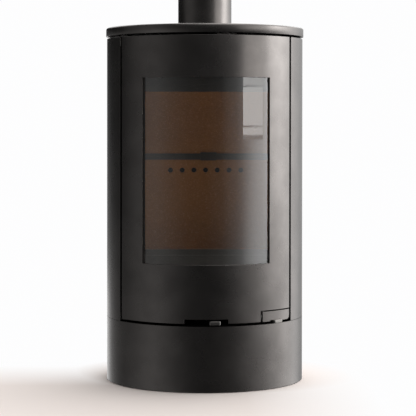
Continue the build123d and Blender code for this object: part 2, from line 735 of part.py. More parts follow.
PARTS = {
    "floor_plate": floor_plate,
    "plinth_ring": plinth_ring,
    "deck_plate": deck_plate,
    "left_side_panel": lambda: side_panel(-1),
    "right_side_panel": lambda: side_panel(1),
    "rear_panel": rear_panel,
    "rear_panel_screws": rear_panel_screws,
    "shell_brackets": shell_brackets,
    "top_plate": top_plate,
    "top_plate_spacers": top_plate_spacers,
    "firebox_legs": firebox_legs,
    "firebox_base": firebox_base,
    "firebox_floor": firebox_floor,
    "firebox_left_wall": lambda: firebox_side_wall(-1),
    "firebox_right_wall": lambda: firebox_side_wall(1),
    "firebox_back_wall": firebox_back_wall,
    "firebox_top": firebox_top,
    "front_frame": front_frame,
    "rear_air_duct": rear_air_duct,
    "air_transfer_channel": air_transfer_channel,
    "left_lining": lambda: side_lining(-1),
    "right_lining": lambda: side_lining(1),
    "back_lining_lower": back_lining_lower,
    "back_lining_upper": back_lining_upper,
    "lining_rail": lining_rail,
    "hearth_lining": hearth_lining,
    "grate": grate,
    "baffle_lower": baffle_lower,
    "baffle_upper": baffle_upper,
    "baffle_supports": baffle_supports,
    "ash_pan": ash_pan,
    "ash_pan_runners": ash_pan_runners,
    "air_valve_housing": air_valve_housing,
    "air_inlet_duct": air_inlet_duct,
    "air_inlet_elbow": air_inlet_elbow,
    "lever_pivot_pin": lever_pivot_pin,
    "flue_collar": flue_collar,
    "collar_bolts": collar_bolts,
    "flue_pipe": flue_pipe,
    "hinge_brackets": hinge_brackets,
    "hinge_pins": hinge_pins,
    "hinge_washers": hinge_washers,
    "keeper_bracket": keeper_bracket,
    "keeper_pin": keeper_pin,
    "door_skin": door_skin,
    "door_inner_frame": door_inner_frame,
    "door_glass": door_glass,
    "glass_gasket": glass_gasket,
    "glass_clips": glass_clips,
    "glass_clip_screws": glass_clip_screws,
    "door_seal": door_seal,
    "door_hinge_plates": door_hinge_plates,
    "handle_bracket": handle_bracket,
    "handle_pivot_pin": handle_pivot_pin,
    "handle_flap": handle_flap,
    "handle_tongue": handle_tongue,
    "latch_hook": latch_hook,
    "air_lever": air_lever,
    "air_lever_tongue": air_lever_tongue,
    "air_valve_disc": air_valve_disc,
}

os.makedirs("parts", exist_ok=True)
for name, make in PARTS.items():
    made = make()
    shape = Compound(children=made) if isinstance(made, list) else made
    export_step(shape, f"parts/{name}.step")
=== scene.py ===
import json
import math

import bmesh
import bpy
from mathutils import Matrix, Vector


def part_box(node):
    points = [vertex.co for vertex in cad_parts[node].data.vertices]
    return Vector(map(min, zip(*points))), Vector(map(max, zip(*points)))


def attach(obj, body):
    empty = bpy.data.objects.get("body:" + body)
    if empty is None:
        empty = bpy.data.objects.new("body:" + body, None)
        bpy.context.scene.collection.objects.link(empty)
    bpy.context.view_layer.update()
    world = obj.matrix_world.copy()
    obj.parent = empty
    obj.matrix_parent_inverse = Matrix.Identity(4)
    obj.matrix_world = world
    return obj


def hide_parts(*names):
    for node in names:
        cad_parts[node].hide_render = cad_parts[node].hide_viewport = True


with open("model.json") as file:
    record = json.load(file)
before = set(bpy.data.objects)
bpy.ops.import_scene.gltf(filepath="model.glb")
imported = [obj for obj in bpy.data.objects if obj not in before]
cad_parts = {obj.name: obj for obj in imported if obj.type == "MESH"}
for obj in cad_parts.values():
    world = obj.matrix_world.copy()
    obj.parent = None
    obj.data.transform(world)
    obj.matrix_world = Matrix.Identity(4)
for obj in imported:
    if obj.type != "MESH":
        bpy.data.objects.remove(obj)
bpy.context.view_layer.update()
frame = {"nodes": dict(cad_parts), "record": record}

# ------------------------------------------------- sizes, in metres, most of them worked out from the frame

plinth_low, plinth_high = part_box("plinth_ring")
top_low, top_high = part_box("top_plate")
pipe_low, pipe_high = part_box("flue_pipe")
door_low, door_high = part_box("door_skin")
glass_low, glass_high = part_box("door_glass")
flap_low, flap_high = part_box("handle_flap")
panel_low, panel_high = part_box("right_side_panel")
seal_low, seal_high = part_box("door_seal")

BODY_R = plinth_high.x
SHEET = 0.003
SHELL_R = BODY_R - SHEET
TOP_R = top_high.x
PIPE_R = pipe_high.x
PIPE_WALL = 0.002
TOP_HOLE_R = 0.082
TOP_RIM = 0.0085
TOP_POCKET_R = TOP_R - TOP_RIM
TOP_POCKET_DEPTH = 0.016
TOP_COLLAR = 0.008
TOP_ROUND = (0.0005, 0.005)
# Thickness and clearance of the dark ring in the top plate's pocket, which is painted shade for the gap under
# the plate
TOP_SHADE_RING = 0.001
TOP_SHADE_RING_GAP = 0.001
INLET_R = 0.0518
INLET_Z = 0.090

# Angles are plan angles, in degrees from straight ahead (-Y), positive towards +X. A pair of radii is a
# sheet's inner and outer face.
DOOR_EDGE_ANGLE = math.degrees(math.asin(door_high.x / BODY_R))
WINDOW_ANGLE = 38.5
GLASS_LAP = 0.008
WINDOW_Z = (glass_low.z + GLASS_LAP, glass_high.z - GLASS_LAP)
GLASS_R = (0.266, 0.270)
GLASS_ANGLE = 42.0
# Angles and thickness of the black strips at the window's sides, which are painted shade for the dark gaps
# there
SHADE_STRIP_ANGLES = (37.3, 38.3)
SHADE_STRIP_THICKNESS = 0.001
NOTCH_ANGLE = 12.3
NOTCH_TOP = door_low.z + 0.0117
HANDLE_CUT_ANGLE = 32.3
HANDLE_CUT_TOP = door_low.z + 0.030
FLAP_ANGLES = (33.7, 56.0)
FLAP_TOP = flap_low.z + 0.027
FLAP_CORNER_R = 0.012
HANDLE_TONGUE_ANGLE = 43.7
TONGUE_NOTCH = (0.0326, 0.0035)
HANDLE_R = 0.262
HANDLE_ANGLE = 34.5
HUB_R = 0.008
HUB_Z = ((flap_low.z + 0.0048, flap_low.z + 0.0075), (flap_low.z + 0.0165, flap_high.z))
SHELL_EDGE_ANGLE = math.degrees(math.acos(-panel_low.y / BODY_R))
SEAL_INSET = 0.005
SEAL_CORNER_R = 0.012
SEAL_STEP = 0.0012
SEAL_PITCH = 0.011
SEAL_SIDES = 20
FOLD_R = 0.246
FOLD_LIFT = 0.013
REAR_SEAM_ANGLE = 150.0
SEAM_ANGLE = 0.15
SLOT_STEP = 3.6
SLOT_WIDTH = 0.006
SLOT_HEIGHT = 0.042
SLOT_LOWS = (0.226, 0.862)

# Widths of the rounding on edges, and the corner, in degrees, from which a line is an edge
EDGE = 0.0007
SMALL_EDGE = 0.0004
SHARP_ANGLE = 40


# ---------------------------------------------------------------- camera and light

def make_camera():
    """A long lens at window height, a little to the left, shifted so that the sides stay upright."""
    distance = 4.538
    height = 0.7206
    azimuth = math.radians(-1.0)
    yaw = math.radians(-1.1176)
    pitch = math.radians(0.84106)
    roll = math.radians(0.05)
    data = bpy.data.cameras.new("camera")
    data.sensor_width = 36.0
    data.lens = 139.1192
    data.shift_y = -0.14904
    data.clip_start = 0.1
    data.clip_end = 200.0
    camera = bpy.data.objects.new("camera", data)
    bpy.context.scene.collection.objects.link(camera)
    camera.location = (distance * math.sin(azimuth), -distance * math.cos(azimuth), height)
    look = Matrix.Rotation(yaw, 4, "Z") @ Matrix.Rotation(math.pi / 2 - pitch, 4, "X")
    look = look @ Matrix.Rotation(roll, 4, "Z")
    camera.rotation_euler = look.to_euler()
    bpy.context.scene.camera = camera


def math_node(tree, operation, *values):
    """One operation on numbers or other nodes' outputs."""
    node = tree.nodes.new("ShaderNodeMath")
    node.operation = operation
    for socket, value in zip(node.inputs, values):
        if isinstance(value, (int, float)):
            socket.default_value = value
        else:
            tree.links.new(value, socket)
    return node.outputs[0]


def ramp_node(tree, factor, stops):
    """Colour ramp from (position, colour) pairs, where a colour is a grey level or three numbers."""
    node = tree.nodes.new("ShaderNodeValToRGB")
    node.color_ramp.interpolation = "LINEAR"
    elements = node.color_ramp.elements
    while len(elements) > 1:
        elements.remove(elements[-1])
    for index, (position, colour) in enumerate(stops):
        element = elements[0] if index == 0 else elements.new(position)
        element.position = position
        rgb = (colour,) * 3 if isinstance(colour, (int, float)) else colour
        element.color = (*rgb, 1.0)
    tree.links.new(factor, node.inputs[0])
    return node.outputs[0]


# Studio light round the stove, in four bands of height, the lowest first. Each stop is a plan angle from
# behind the camera, positive towards the right, and a brightness.
KEY = 10.0
FLOOR_BOUNCE = [
    (-180, 1.3), (-160, 1.4), (-145, 0.55), (-130, 0.33), (-111, 0.18), (-83, 0.32), (-60, 0.48),
    (-39, 0.26), (-20, 0.10), (0, 0.05), (20, 0.03), (47, 0.03), (69, 0.18), (93, 1.0), (108, 2.0),
    (126, 2.1), (150, 0.5), (180, 0.5),
]
LOW_WALL = [
    (-180, 0.40), (-162, 0.30), (-142, 0.10), (-112, 0.06), (-83, 0.20), (-60, 0.21), (-39, 0.11),
    (-20, 0.05), (0, 0.03), (20, 0.09), (35, 0.28), (43, 0.48), (50, 0.90), (58, 1.35), (66, 1.65),
    (75, 1.85), (88, 1.35), (95, 1.8), (106, 2.9), (126, 2.0), (150, 0.6), (180, 0.6),
]
WINDOWS = [
    (-180, 0.10), (-162, 0.02), (-142, 0.01), (-112, 0.03), (-83, 0.24), (-60, 0.25), (-39, 0.12),
    (-20, 0.05), (0, 0.03), (18, 0.07), (37, 0.34), (50, 0.9), (60, 1.6), (72, 2.3), (77, 3.2),
    (83, 6.8), (100, 6.8), (110, 4.2), (124, 2.2), (150, 0.8), (180, 0.5),
]
OVERHEAD = [
    (-180, 2.8), (-130, 1.0), (-90, 0.2), (-45, 0.2), (0, 0.9), (45, 1.6), (90, 1.9), (130, 3.0),
    (180, 3.0),
]
# Each band but the lowest, with the heights between which it takes over: 0 is level and 1 straight up
UPPER_BANDS = [(LOW_WALL, -0.110, -0.090), (WINDOWS, -0.085, 0.070), (OVERHEAD, 0.20, 0.40)]

# Panes of the window seen in the glass: height from and to, and brightness
WINDOW_PANES = [((0.613, 0.640), 1.1), ((0.641, 0.690), 2.7), ((0.701, 0.944), 2.8), ((0.953, 1.60), 2.4)]
PANE_ANGLE = 57.0
PANE_HALF_WIDTH = 1.40
PANE_DISTANCE = 6.0
BACKDROP = (0.985, 0.985, 0.99, 1.0)


def studio_ramp(tree, share, levels):
    """One band's brightness, as a share of the key light, round the whole turn."""
    return ramp_node(tree, share, [((angle + 180) / 360, level / KEY) for angle, level in levels])


def blend_colours(tree, how, first, second, factor=1.0):
    """Mix of two colours, by a number or another node's output."""
    node = tree.nodes.new("ShaderNodeMix")
    node.data_type = "RGBA"
    node.blend_type = how
    if isinstance(factor, float):
        node.inputs[0].default_value = factor
    else:
        tree.links.new(factor, node.inputs[0])
    tree.links.new(first, node.inputs[6])
    tree.links.new(second, node.inputs[7])
    return node.outputs[2]


def make_world():
    """Soft window light from the right, a weak fill on the left, dark behind the camera, a white backdrop."""
    world = bpy.data.worlds.new("studio")
    world.use_nodes = True
    tree = world.node_tree
    tree.nodes.clear()
    split = tree.nodes.new("ShaderNodeSeparateXYZ")
    tree.links.new(tree.nodes.new("ShaderNodeTexCoord").outputs["Generated"], split.inputs[0])
    x, y, z = split.outputs
    angle = math_node(tree, "ARCTAN2", x, math_node(tree, "MULTIPLY", y, -1.0))
    share = math_node(tree, "MULTIPLY_ADD", angle, 0.5 / math.pi, 0.5)
    height = math_node(tree, "MULTIPLY_ADD", z, 0.5, 0.5)
    total = studio_ramp(tree, share, FLOOR_BOUNCE)
    for band, start, end in UPPER_BANDS:
        climb = ramp_node(tree, height, [((start + 1) / 2, 0.0), ((end + 1) / 2, 1.0)])
        total = blend_colours(tree, "MIX", total, studio_ramp(tree, share, band), climb)
    light = tree.nodes.new("ShaderNodeBackground")
    light.inputs["Strength"].default_value = KEY
    tree.links.new(total, light.inputs["Color"])
    backdrop = tree.nodes.new("ShaderNodeBackground")
    backdrop.inputs["Color"].default_value = BACKDROP
    pick = tree.nodes.new("ShaderNodeMixShader")
    tree.links.new(tree.nodes.new("ShaderNodeLightPath").outputs["Is Camera Ray"], pick.inputs[0])
    tree.links.new(light.outputs[0], pick.inputs[1])
    tree.links.new(backdrop.outputs[0], pick.inputs[2])
    out = tree.nodes.new("ShaderNodeOutputWorld")
    tree.links.new(pick.outputs[0], out.inputs["Surface"])
    bpy.context.scene.world = world
    bpy.context.scene.view_settings.view_transform = "Standard"


def glow_material(name, strength):
    """Plain light for a window pane."""
    material = bpy.data.materials.new(name)
    material.use_nodes = True
    tree = material.node_tree
    tree.nodes.clear()
    glow = tree.nodes.new("ShaderNodeEmission")
    glow.inputs["Color"].default_value = (1.0, 0.985, 0.97, 1.0)
    glow.inputs["Strength"].default_value = strength
    out = tree.nodes.new("ShaderNodeOutputMaterial")
    tree.links.new(glow.outputs[0], out.inputs["Surface"])
    return material


def make_light_panel(name, z_span, material):
    """Upright panel that shows only in reflections, turned to face the stove."""
    low, high = z_span
    half = PANE_HALF_WIDTH
    corners = [(-half, 0, low), (half, 0, low), (half, 0, high), (-half, 0, high)]
    mesh = bpy.data.meshes.new(name)
    mesh.from_pydata(corners, [], [(0, 1, 2, 3)])
    mesh.materials.append(material)
    panel = bpy.data.objects.new(name, mesh)
    bpy.context.scene.collection.objects.link(panel)
    panel.location = plan(PANE_DISTANCE, PANE_ANGLE)
    panel.rotation_euler = (0, 0, math.radians(PANE_ANGLE))
    panel.visible_camera = False
    panel.visible_diffuse = False
    panel.visible_shadow = False


def make_window():
    """A tall window with glazing bars."""
    for index, (z_span, strength) in enumerate(WINDOW_PANES):
        glow = glow_material(f"window_light_{index}", strength)
        make_light_panel(f"window_pane_{index}", z_span, glow)


def floor_material():
    """Shaded white under the stove and to its front left, plain white light elsewhere."""
    material, tree, bsdf = new_material("studio_floor")
    bsdf.inputs["Base Color"].default_value = (0.72, 0.655, 0.62, 1.0)
    bsdf.inputs["Roughness"].default_value = 0.75
    bsdf.inputs["Specular IOR Level"].default_value = 0.0
    place = tree.nodes.new("ShaderNodeTexCoord").outputs["Object"]
    split = tree.nodes.new("ShaderNodeSeparateXYZ")
    tree.links.new(place, split.inputs[0])
    length = tree.nodes.new("ShaderNodeVectorMath")
    length.operation = "LENGTH"
    tree.links.new(place, length.inputs[0])
    distance = length.outputs["Value"]
    left = ramp_node(tree, math_node(tree, "ADD", split.outputs["X"], 0.5), [(0.60, 1.0), (0.95, 0.0)])
    front = ramp_node(tree, math_node(tree, "ADD", split.outputs["Y"], 0.5), [(0.36, 1.0), (0.72, 0.0)])
    under = ramp_node(tree, distance, [(0.28, 1.0), (0.43, 0.0)])
    near = ramp_node(tree, math_node(tree, "MULTIPLY", distance, 0.2), [(0.16, 1.0), (0.55, 0.0)])
    shaded = math_node(tree, "MAXIMUM", math_node(tree, "MULTIPLY", left, front), under)
    glow = tree.nodes.new("ShaderNodeEmission")
    glow.inputs["Color"].default_value = BACKDROP
    pick = tree.nodes.new("ShaderNodeMixShader")
    tree.links.new(math_node(tree, "MULTIPLY", shaded, near), pick.inputs[0])
    tree.links.new(glow.outputs[0], pick.inputs[1])
    tree.links.new(bsdf.outputs[0], pick.inputs[2])
    tree.links.new(pick.outputs[0], tree.nodes["Material Output"].inputs["Surface"])
    return material


def make_floor():
    """Wide flat studio floor, left out of reflections, where the lowest band of light stands for it."""
    half = 40.0
    corners = [(-half, -half, 0), (half, -half, 0), (half, half, 0), (-half, half, 0)]
    mesh = bpy.data.meshes.new("floor")
    mesh.from_pydata(corners, [], [(0, 1, 2, 3)])
    mesh.materials.append(floor_material())
    floor = bpy.data.objects.new("floor", mesh)
    bpy.context.scene.collection.objects.link(floor)
    floor.visible_glossy = False


# ---------------------------------------------------------------- materials

def new_material(name):
    """A new material, its node tree and its main shader."""
    material = bpy.data.materials.new(name)
    material.use_nodes = True
    tree = material.node_tree
    return material, tree, tree.nodes["Principled BSDF"]


def object_place(tree, stretch=(1, 1, 1)):
    """Object coordinates, scaled on each axis."""
    place = tree.nodes.new("ShaderNodeTexCoord").outputs["Object"]
    mapping = tree.nodes.new("ShaderNodeMapping")
    mapping.inputs["Scale"].default_value = stretch
    tree.links.new(place, mapping.inputs["Vector"])
    return mapping.outputs["Vector"]


def noise(tree, place, scale, detail=3.0):
    """Soft random pattern from 0 to 1."""
    node = tree.nodes.new("ShaderNodeTexNoise")
    node.inputs["Scale"].default_value = scale
    node.inputs["Detail"].default_value = detail
    node.inputs["Roughness"].default_value = 0.5
    tree.links.new(place, node.inputs["Vector"])
    return node.outputs["Fac"]


def spread(tree, factor, low, high):
    """Map the middle of a noise to a range."""
    node = tree.nodes.new("ShaderNodeMapRange")
    node.inputs["From Min"].default_value = 0.3
    node.inputs["From Max"].default_value = 0.7
    node.inputs["To Min"].default_value = low
    node.inputs["To Max"].default_value = high
    tree.links.new(factor, node.inputs["Value"])
    return node.outputs["Result"]


def bump(tree, height, distance, strength, under=None):
    """Surface tilt from a height, on top of another if there is one."""
    node = tree.nodes.new("ShaderNodeBump")
    node.inputs["Distance"].default_value = distance
    node.inputs["Strength"].default_value = strength
    tree.links.new(height, node.inputs["Height"])
    if under is not None:
        tree.links.new(under, node.inputs["Normal"])
    return node.outputs["Normal"]


def blotchy(tree, factor, dark, light):
    """Colour that varies a little between two near shades."""
    return ramp_node(tree, factor, [(0.35, dark), (0.65, light)])


def paint(name, colour, roughness, grain):
    """Heat-proof stove paint: metal pigment, satin, with a fine sprayed grain."""
    material, tree, bsdf = new_material(name)
    bsdf.inputs["Metallic"].default_value = 1.0
    place = object_place(tree)
    dark = tuple(c * 0.90 for c in colour)
    light = tuple(c * 1.10 for c in colour)
    tree.links.new(blotchy(tree, noise(tree, place, 14.0), dark, light), bsdf.inputs["Base Color"])
    smears = noise(tree, place, 9.0, 4.0)
    tree.links.new(spread(tree, smears, roughness - 0.025, roughness + 0.025), bsdf.inputs["Roughness"])
    fine = noise(tree, place, 1500.0, 2.0)
    tree.links.new(bump(tree, fine, 0.00006, grain), bsdf.inputs["Normal"])
    return material


def fire_board():
    """Pressed vermiculite board: brown flakes, soft and matt."""
    material, tree, bsdf = new_material("fire_board")
    place = object_place(tree)
    flakes = tree.nodes.new("ShaderNodeTexVoronoi")
    flakes.inputs["Scale"].default_value = 320.0
    tree.links.new(place, flakes.inputs["Vector"])
    grey = tree.nodes.new("ShaderNodeSeparateColor")
    tree.links.new(flakes.outputs["Color"], grey.inputs[0])
    shades = [(0.0, (0.31, 0.142, 0.038)), (0.5, (0.33, 0.152, 0.043)), (0.9, (0.36, 0.168, 0.052)),
              (1.0, (0.40, 0.20, 0.075))]
    flake_tint = ramp_node(tree, grey.outputs[0], shades)
    cloud = ramp_node(tree, noise(tree, place, 7.0, 4.0), [(0.3, 0.90), (0.7, 1.0)])
    tree.links.new(blend_colours(tree, "MULTIPLY", flake_tint, cloud), bsdf.inputs["Base Color"])
    bsdf.inputs["Roughness"].default_value = 0.95
    rough_face = bump(tree, grey.outputs[1], 0.0004, 0.45)
    tree.links.new(bump(tree, noise(tree, place, 120.0), 0.0006, 0.3, rough_face), bsdf.inputs["Normal"])
    return material


def cast_iron():
    """Dark rough casting."""
    material, tree, bsdf = new_material("cast_iron")
    place = object_place(tree)
    tree.links.new(blotchy(tree, noise(tree, place, 40.0), (0.035, 0.034, 0.033), (0.055, 0.052, 0.05)),
                   bsdf.inputs["Base Color"])
    tree.links.new(spread(tree, noise(tree, place, 60.0), 0.55, 0.75), bsdf.inputs["Roughness"])
    tree.links.new(bump(tree, noise(tree, place, 500.0, 4.0), 0.0004, 0.5), bsdf.inputs["Normal"])
    return material


def metal(name, colour, roughness, stretch, scale, depth):
    """Bare metal with fine marks, drawn out along the axes that stretch leaves at 1."""
    material, tree, bsdf = new_material(name)
    bsdf.inputs["Metallic"].default_value = 1.0
    place = object_place(tree, stretch)
    marks = noise(tree, place, scale)
    dark = tuple(c * 0.88 for c in colour)
    tree.links.new(blotchy(tree, marks, dark, colour), bsdf.inputs["Base Color"])
    tree.links.new(spread(tree, marks, roughness * 0.8, roughness * 1.2), bsdf.inputs["Roughness"])
    tree.links.new(bump(tree, marks, depth, 0.4), bsdf.inputs["Normal"])
    return material


def galvanised():
    """Zinc-coated sheet with faint crystals."""
    material, tree, bsdf = new_material("galvanised")
    bsdf.inputs["Metallic"].default_value = 1.0
    place = object_place(tree)
    crystals = tree.nodes.new("ShaderNodeTexVoronoi")
    crystals.inputs["Scale"].default_value = 90.0
    tree.links.new(place, crystals.inputs["Vector"])
    grey = tree.nodes.new("ShaderNodeSeparateColor")
    tree.links.new(crystals.outputs["Color"], grey.inputs[0])
    tree.links.new(ramp_node(tree, grey.outputs[0], [(0.0, 0.42), (1.0, 0.62)]), bsdf.inputs["Base Color"])
    tree.links.new(spread(tree, grey.outputs[1], 0.30, 0.45), bsdf.inputs["Roughness"])
    return material


def rope():
    """Dark braided glass rope."""
    material, tree, bsdf = new_material("rope_seal")
    place = object_place(tree)
    # The near-black colour is the rope's own, and it also serves as painted shade on the strips beside the
    # glass and the ring under the top plate
    tree.links.new(blotchy(tree, noise(tree, place, 300.0), (0.012, 0.011, 0.010), (0.032, 0.030, 0.029)),
                   bsdf.inputs["Base Color"])
    bsdf.inputs["Roughness"].default_value = 0.9
    bsdf.inputs["Specular IOR Level"].default_value = 0.1
    tree.links.new(bump(tree, noise(tree, place, 2500.0), 0.0003, 0.5), bsdf.inputs["Normal"])
    return material


def ceramic_glass():
    """Stove glass: it lets light straight through, mirrors a little, and has a faint film of soot."""
    material = bpy.data.materials.new("ceramic_glass")
    material.use_nodes = True
    tree = material.node_tree
    tree.nodes.clear()
    clear = tree.nodes.new("ShaderNodeBsdfTransparent")
    clear.inputs["Color"].default_value = (0.97, 0.955, 0.93, 1.0)
    mirror = tree.nodes.new("ShaderNodeBsdfGlossy")
    mirror.inputs["Roughness"].default_value = 0.02
    fresnel = tree.nodes.new("ShaderNodeFresnel")
    fresnel.inputs["IOR"].default_value = 2.35
    backfacing = tree.nodes.new("ShaderNodeNewGeometry").outputs["Backfacing"]
    outside = math_node(tree, "SUBTRACT", 1.0, backfacing)
    film = tree.nodes.new("ShaderNodeBsdfDiffuse")
    film.inputs["Color"].default_value = (0.85, 0.80, 0.75, 1.0)
    hazy = tree.nodes.new("ShaderNodeMixShader")
    haze = spread(tree, noise(tree, object_place(tree, (1, 1, 0.5)), 11.0, 4.0), 0.003, 0.009)
    tree.links.new(math_node(tree, "MULTIPLY", haze, outside), hazy.inputs[0])
    tree.links.new(clear.outputs[0], hazy.inputs[1])
    tree.links.new(film.outputs[0], hazy.inputs[2])
    mix = tree.nodes.new("ShaderNodeMixShader")
    tree.links.new(math_node(tree, "MULTIPLY", fresnel.outputs[0], outside), mix.inputs[0])
    tree.links.new(hazy.outputs[0], mix.inputs[1])
    tree.links.new(mirror.outputs[0], mix.inputs[2])
    out = tree.nodes.new("ShaderNodeOutputMaterial")
    tree.links.new(mix.outputs[0], out.inputs["Surface"])
    return material


MATERIALS = {
    "stove_paint": paint("stove_paint", (0.131, 0.122, 0.117), 0.27, 0.2),
    # Dark paint of the inside parts; on the side panels' folds it also serves as painted shade in the gaps
    # beside the door
    "inner_steel": paint("inner_steel", (0.045, 0.043, 0.040), 0.55, 0.6),
    "frame_steel": paint("frame_steel", (0.11, 0.105, 0.10), 0.42, 0.5),
    "fire_board": fire_board(),
    "cast_iron": cast_iron(),
    "galvanised": galvanised(),
    "brushed_steel": metal("brushed_steel", (0.21, 0.20, 0.19), 0.33, (1, 1, 14), 260.0, 0.00003),
    "zinc_steel": metal("zinc_steel", (0.36, 0.355, 0.35), 0.42, (1, 1, 1), 90.0, 0.00005),
    "ceramic_glass": ceramic_glass(),
    "rope_seal": rope(),
}
SLOT_OF = {part["node"]: part["material_slot"] for part in frame["record"]["subparts"]}


def dress_cad_nodes():
    """Each carried-over CAD node gets its own material and a softened edge."""
    for name, node in frame["nodes"].items():
        node.data.materials.clear()
        node.data.materials.append(MATERIALS[SLOT_OF[name]])
        if node.hide_render:
            continue
        weld = node.modifiers.new("weld", "WELD")
        weld.merge_threshold = 0.00001
        soften_edges(node, SMALL_EDGE, 2, SHARP_ANGLE)


# ---------------------------------------------------------------- mesh helpers

def plan(radius, angle, z=0.0):
    """Point at a radius and a plan angle."""
    turn = math.radians(angle)
    return Vector((radius * math.sin(turn), -radius * math.cos(turn), z))


def soften_edges(piece, width, segments, angle):
    """Rounding on every edge sharper than an angle in degrees."""
    soften = piece.modifiers.new("soften", "BEVEL")
    soften.width = width
    soften.segments = segments
    soften.limit_method = "ANGLE"
    soften.angle_limit = math.radians(angle)
    return soften


def finish_piece(name, bm, body, nodes, edge=EDGE, slot=None):
    """Turn a bmesh into a smooth piece that rides on a body in place of CAD nodes.

    edge is the width of the rounding on its corners, and 0 leaves them sharp.
    """
    bmesh.ops.recalc_face_normals(bm, faces=bm.faces)
    sharp = math.radians(SHARP_ANGLE)
    for line in bm.edges:
        line.smooth = bool(edge) or line.calc_face_angle(0.0) < sharp
    mesh = bpy.data.meshes.new(name)
    bm.to_mesh(mesh)
    bm.free()
    for face in mesh.polygons:
        face.use_smooth = True
    piece = bpy.data.objects.new(name, mesh)
    bpy.context.scene.collection.objects.link(piece)
    slot = slot or SLOT_OF[nodes[0]]
    mesh.materials.append(MATERIALS[slot])
    if edge:
        soften_edges(piece, edge, 3, 35).harden_normals = True
    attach(piece, body)
    if nodes:
        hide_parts(*nodes)
    return piece


def grid_lines(span, cuts, step=None):
    """Sorted breakpoints over a span, with extra lines no further apart than step."""
    low, high = span
    marks = sorted({low, high, *[c for c in cuts if low < c < high]})
    if step is None:
        return marks
    lines = [marks[0]]
    for start, end in zip(marks, marks[1:]):
        count = max(1, math.ceil((end - start) / step))
        lines += [start + (end - start) * k / count for k in range(1, count + 1)]
    return lines


def curved_sheet(radii, angles, z_span, holes=(), step=1.0, drop=None):
    """Bent sheet with rectangular holes (angle, angle, z, z). drop lifts its lower edge by plan angle."""
    columns = grid_lines(angles, [a for h in holes for a in h[:2]], step)
    rows = grid_lines(z_span, [z for h in holes for z in h[2:]])
    bm = bmesh.new()
    made = {}

    def cut_away(i, j):
        angle = (columns[i] + columns[i + 1]) / 2
        z = (rows[j] + rows[j + 1]) / 2
        return any(h[0] < angle < h[1] and h[2] < z < h[3] for h in holes)

    def corner(i, j, k):
        if (i, j, k) not in made:
            z = rows[j]
            if drop is not None and j == 0:
                z += drop(columns[i])
            made[i, j, k] = bm.verts.new(plan(radii[k], columns[i], z))
        return made[i, j, k]

    cells = [(i, j) for i in range(len(columns) - 1) for j in range(len(rows) - 1)]
    kept = {cell for cell in cells if not cut_away(*cell)}
    for i, j in kept:
        for k in (0, 1):
            round_cell = ((i, j), (i + 1, j), (i + 1, j + 1), (i, j + 1))
            bm.faces.new([corner(*place, k) for place in round_cell])
        rims = [((i - 1, j), (i, j), (i, j + 1)), ((i + 1, j), (i + 1, j), (i + 1, j + 1)),
                ((i, j - 1), (i, j), (i + 1, j)), ((i, j + 1), (i, j + 1), (i + 1, j + 1))]
        for beside, a, b in rims:
            if beside not in kept:
                bm.faces.new([corner(*a, 0), corner(*b, 0), corner(*b, 1), corner(*a, 1)])
    return bm


def lathe(profile, segments):
    """Solid of revolution round the stove's axis from a closed outline of (radius, z) points."""
    bm = bmesh.new()
    rings = []
    for s in range(segments):
        angle = 360.0 * s / segments
        rings.append([bm.verts.new(plan(r, angle, z)) for r, z in profile])
    for s in range(segments):
        here, there = rings[s], rings[(s + 1) % segments]
        for p in range(len(profile)):
            q = (p + 1) % len(profile)
            bm.faces.new([here[p], there[p], there[q], here[q]])
    return bm


def rounded(centre, radius, start, end, steps):
    """Points on an arc of an outline, from one angle to another in degrees."""
    turns = [math.radians(start + (end - start) * k / steps) for k in range(steps + 1)]
    return [(centre[0] + radius * math.cos(t), centre[1] + radius * math.sin(t)) for t in turns]


# ---------------------------------------------------------------- casing

def inlet_cutter():
    """Round bar, along Y, that cuts the air inlet."""
    bm = bmesh.new()
    along_y = Matrix.Translation((0, BODY_R, INLET_Z)) @ Matrix.Rotation(math.pi / 2, 4, "X")
    bmesh.ops.create_cone(bm, cap_ends=True, segments=96, radius1=INLET_R, radius2=INLET_R, depth=0.08,
                          matrix=along_y)
    mesh = bpy.data.meshes.new("inlet_cutter")
    bm.to_mesh(mesh)
    bm.free()
    cutter = bpy.data.objects.new("inlet_cutter", mesh)
    bpy.context.scene.collection.objects.link(cutter)
    return cutter


def make_plinth():
    """Plinth ring, with the round air inlet cut through its back."""
    low, high = plinth_low.z, plinth_high.z
    bm = lathe([(SHELL_R, low), (BODY_R, low), (BODY_R, high), (SHELL_R, high)], 360)
    piece = finish_piece("plinth", bm, "casing", ["plinth_ring"], edge=0)
    cutter = inlet_cutter()
    cut = piece.modifiers.new("inlet", "BOOLEAN")
    cut.object = cutter
    cut.solver = "EXACT"
    soften_edges(piece, EDGE, 3, 50).harden_normals = True
    bpy.context.view_layer.update()
    graph = bpy.context.evaluated_depsgraph_get()
    cut_mesh = bpy.data.meshes.new_from_object(piece.evaluated_get(graph))
    piece.modifiers.clear()
    piece.data = cut_mesh
    bpy.data.objects.remove(cutter)


def make_panel_fold(name, side):
    """Front edge of a side panel, folded inward along a radius, in dark paint as painted shade for the gap
    beside the door.
    """
    low, high = panel_low.z + FOLD_LIFT, panel_high.z
    size = Matrix.Diagonal((SHEET, SHELL_R - FOLD_R, high - low, 1.0))
    centre = Vector((side * SHEET / 2, -(SHELL_R + FOLD_R) / 2, (low + high) / 2))
    turn = Matrix.Rotation(math.radians(side * SHELL_EDGE_ANGLE), 4, "Z")
    bm = bmesh.new()
    bmesh.ops.create_cube(bm, size=1.0)
    bmesh.ops.transform(bm, matrix=turn @ Matrix.Translation(centre) @ size, verts=bm.verts)
    # The dark inner_steel paint on the fold is painted shade for the deep gap between door and side panel
    finish_piece(name, bm, "casing", [], slot="inner_steel")


